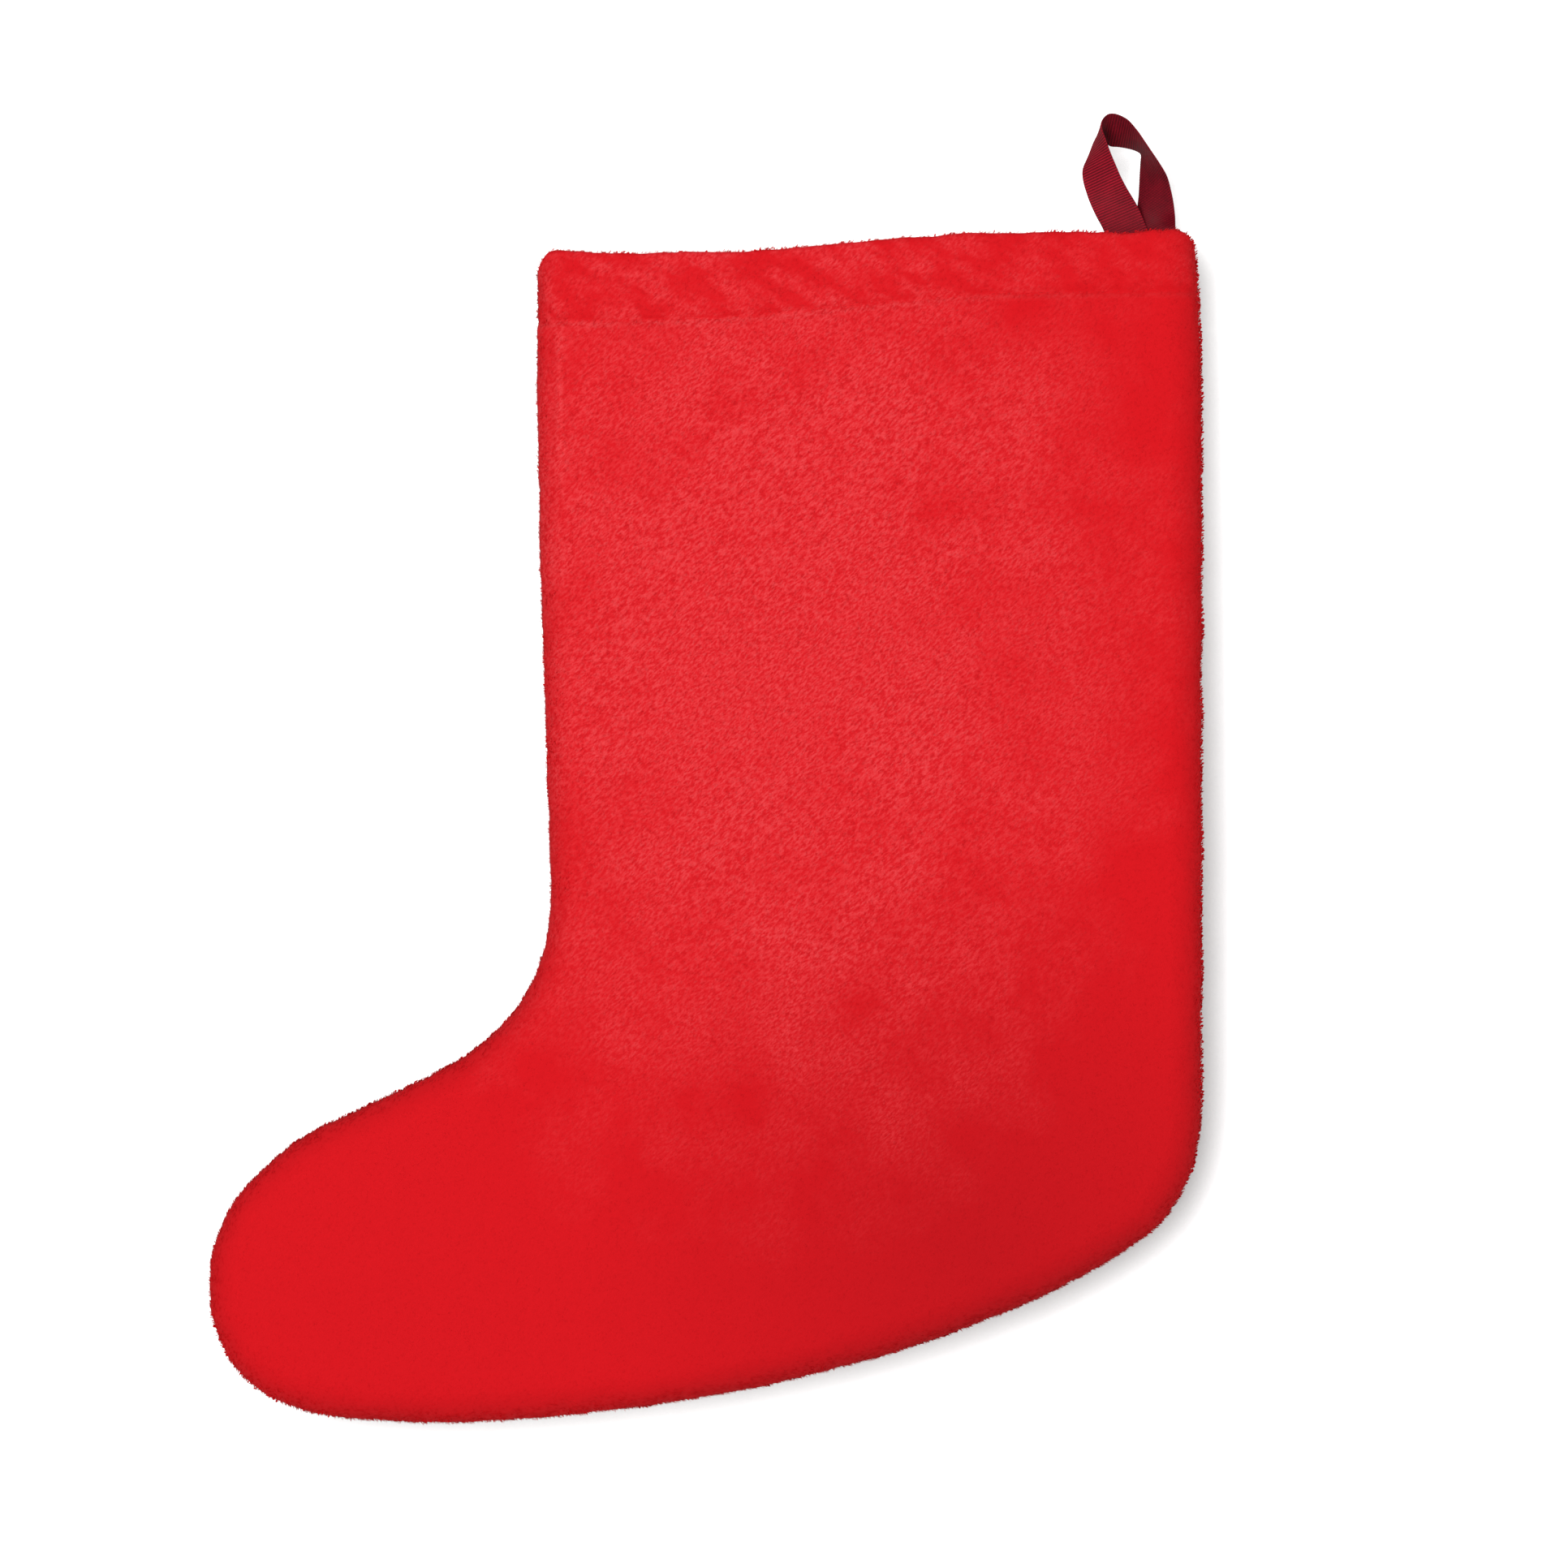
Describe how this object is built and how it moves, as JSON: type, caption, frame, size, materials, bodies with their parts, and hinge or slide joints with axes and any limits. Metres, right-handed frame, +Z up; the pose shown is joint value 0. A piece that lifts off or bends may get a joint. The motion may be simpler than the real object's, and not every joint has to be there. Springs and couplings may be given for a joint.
{
  "type": "hanging stocking",
  "caption": "Plush hanging stocking with a turned-in hem at its open mouth and a twisted ribbon loop that folds at the rim, for a hook or a mantel hanger.",
  "frame": {"origin": "where a hook bears on the inside of the ribbon loop, at the top of its hole", "axes": "+Z up along the hung leg, +X from the toe to the heel, +Y from the front panel to the back panel, towards a wall"},
  "size_m": [0.3801, 0.0291, 0.5012],
  "materials": {
    "plush_red": "short-pile plush, brushed in patches, with a soft sheen",
    "ribbon_burgundy": "grosgrain ribbon with crosswise ribs and woven edges",
    "thread_red": "matt spun polyester sewing thread",
    "thread_burgundy": "matt spun polyester sewing thread"
  },
  "bodies": {
    "loop": {"hanging_loop": "ribbon_burgundy"},
    "stocking": {"front_panel": "plush_red", "back_panel": "plush_red", "side_seam_needle_thread": "thread_red", "side_seam_bobbin_thread": "thread_red", "hem_needle_thread_front": "thread_red", "hem_bobbin_thread_front": "thread_red", "hem_needle_thread_back": "thread_red", "hem_bobbin_thread_back": "thread_red", "loop_tail_front": "ribbon_burgundy", "loop_tail_rear": "ribbon_burgundy", "loop_tack_thread": "thread_burgundy"}
  },
  "joints": [
    {"name": "loop_fold", "type": "hinge", "parent": "loop", "child": "stocking", "pos_m": [0.006, 0, -0.031], "axis": [1, 0, 0], "range_deg": [-65, 65]}
  ]
}
